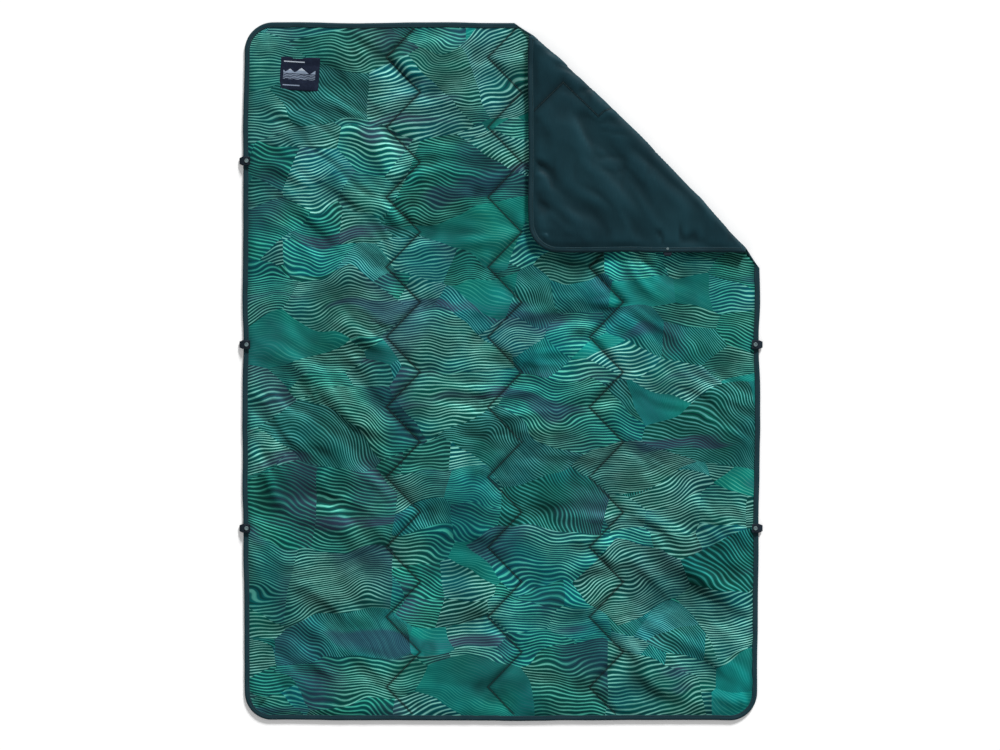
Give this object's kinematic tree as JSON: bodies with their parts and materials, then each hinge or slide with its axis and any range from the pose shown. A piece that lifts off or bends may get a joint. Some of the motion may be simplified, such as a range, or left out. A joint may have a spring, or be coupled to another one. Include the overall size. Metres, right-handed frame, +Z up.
{
  "type": "camp blanket",
  "caption": "Quilted insulated blanket laid flat, with a printed face, bound edges, press-stud loops and one corner folded back over it.",
  "frame": {"origin": "on the ground under the middle of the blanket", "axes": "+Z up, +Y along the length towards the end with the label and the folded corner, +X across the width towards the folded corner"},
  "size_m": [1.39, 1.8552, 0.033],
  "materials": {
    "printed_fabric": "fine ripstop weave printed with pale wavy lines on green and teal",
    "plain_fabric": "plain dark teal woven polyester, matte with a slight sheen",
    "insulation": "white polyester batting",
    "binding_tape": "dark navy woven tape, folded over the edge and stitched",
    "loop_tape": "dark navy ribbed webbing",
    "label": null,
    "thread": "dark polyester thread",
    "snap_plastic": "moulded grey-teal acetal, satin"
  },
  "bodies": {
    "blanket": {"back_fabric": "plain_fabric", "insulation": "insulation", "face_fabric": "printed_fabric", "binding": "binding_tape", "fold_back_fabric": "plain_fabric", "fold_insulation": "insulation", "fold_face_fabric": "printed_fabric", "fold_binding_top": "binding_tape", "fold_binding_side": "binding_tape", "quilt_thread_left": "thread", "quilt_thread_middle": "thread", "quilt_thread_right": "thread", "label": "label", "loop_base_left_top": "loop_tape", "snap_stud_left_top": "snap_plastic", "snap_rivet_left_top": "snap_plastic", "loop_base_left_middle": "loop_tape", "snap_stud_left_middle": "snap_plastic", "snap_rivet_left_middle": "snap_plastic", "loop_base_left_bottom": "loop_tape", "snap_stud_left_bottom": "snap_plastic", "snap_rivet_left_bottom": "snap_plastic", "loop_base_right_middle": "loop_tape", "snap_stud_right_middle": "snap_plastic", "snap_rivet_right_middle": "snap_plastic", "loop_base_right_bottom": "loop_tape", "snap_stud_right_bottom": "snap_plastic", "snap_rivet_right_bottom": "snap_plastic"},
    "corner": {"corner_back_fabric": "plain_fabric", "corner_insulation": "insulation", "corner_face_fabric": "printed_fabric", "corner_binding": "binding_tape", "corner_quilt_thread_right": "thread", "loop_base_corner": "loop_tape", "snap_stud_corner": "snap_plastic", "snap_rivet_corner": "snap_plastic"},
    "loop_left_top": {"loop_flap_left_top": "loop_tape", "snap_socket_left_top": "snap_plastic", "snap_cap_left_top": "snap_plastic"},
    "loop_left_middle": {"loop_flap_left_middle": "loop_tape", "snap_socket_left_middle": "snap_plastic", "snap_cap_left_middle": "snap_plastic"},
    "loop_left_bottom": {"loop_flap_left_bottom": "loop_tape", "snap_socket_left_bottom": "snap_plastic", "snap_cap_left_bottom": "snap_plastic"},
    "loop_corner": {"loop_flap_corner": "loop_tape", "snap_socket_corner": "snap_plastic", "snap_cap_corner": "snap_plastic"},
    "loop_right_middle": {"loop_flap_right_middle": "loop_tape", "snap_socket_right_middle": "snap_plastic", "snap_cap_right_middle": "snap_plastic"},
    "loop_right_bottom": {"loop_flap_right_bottom": "loop_tape", "snap_socket_right_bottom": "snap_plastic", "snap_cap_right_bottom": "snap_plastic"}
  },
  "joints": [
    {"name": "corner_fold", "type": "hinge", "parent": "blanket", "child": "corner", "pos_m": [0.05409, 0.94659, 0.0165], "axis": [-0.7071, 0.7071, 0], "range_deg": [0, 180], "deforming": ["fold_back_fabric", "fold_insulation", "fold_face_fabric", "fold_binding_top", "fold_binding_side"]},
    {"name": "snap_loop_left_top", "type": "hinge", "parent": "blanket", "child": "loop_left_top", "pos_m": [-0.695, 0.5595, 0.00335], "axis": [0, -1, 0], "range_deg": [0, 160]},
    {"name": "snap_loop_left_middle", "type": "hinge", "parent": "blanket", "child": "loop_left_middle", "pos_m": [-0.695, 0.0715, 0.00335], "axis": [0, -1, 0], "range_deg": [0, 160]},
    {"name": "snap_loop_left_bottom", "type": "hinge", "parent": "blanket", "child": "loop_left_bottom", "pos_m": [-0.695, -0.4165, 0.00335], "axis": [0, -1, 0], "range_deg": [0, 160]},
    {"name": "snap_loop_corner", "type": "hinge", "parent": "corner", "child": "loop_corner", "pos_m": [0.44118, 0.30568, 0.02965], "axis": [-1, 0, 0], "range_deg": [0, 12]},
    {"name": "snap_loop_right_middle", "type": "hinge", "parent": "blanket", "child": "loop_right_middle", "pos_m": [0.695, 0.0715, 0.00335], "axis": [0, 1, 0], "range_deg": [0, 160]},
    {"name": "snap_loop_right_bottom", "type": "hinge", "parent": "blanket", "child": "loop_right_bottom", "pos_m": [0.695, -0.4165, 0.00335], "axis": [0, 1, 0], "range_deg": [0, 160]}
  ]
}
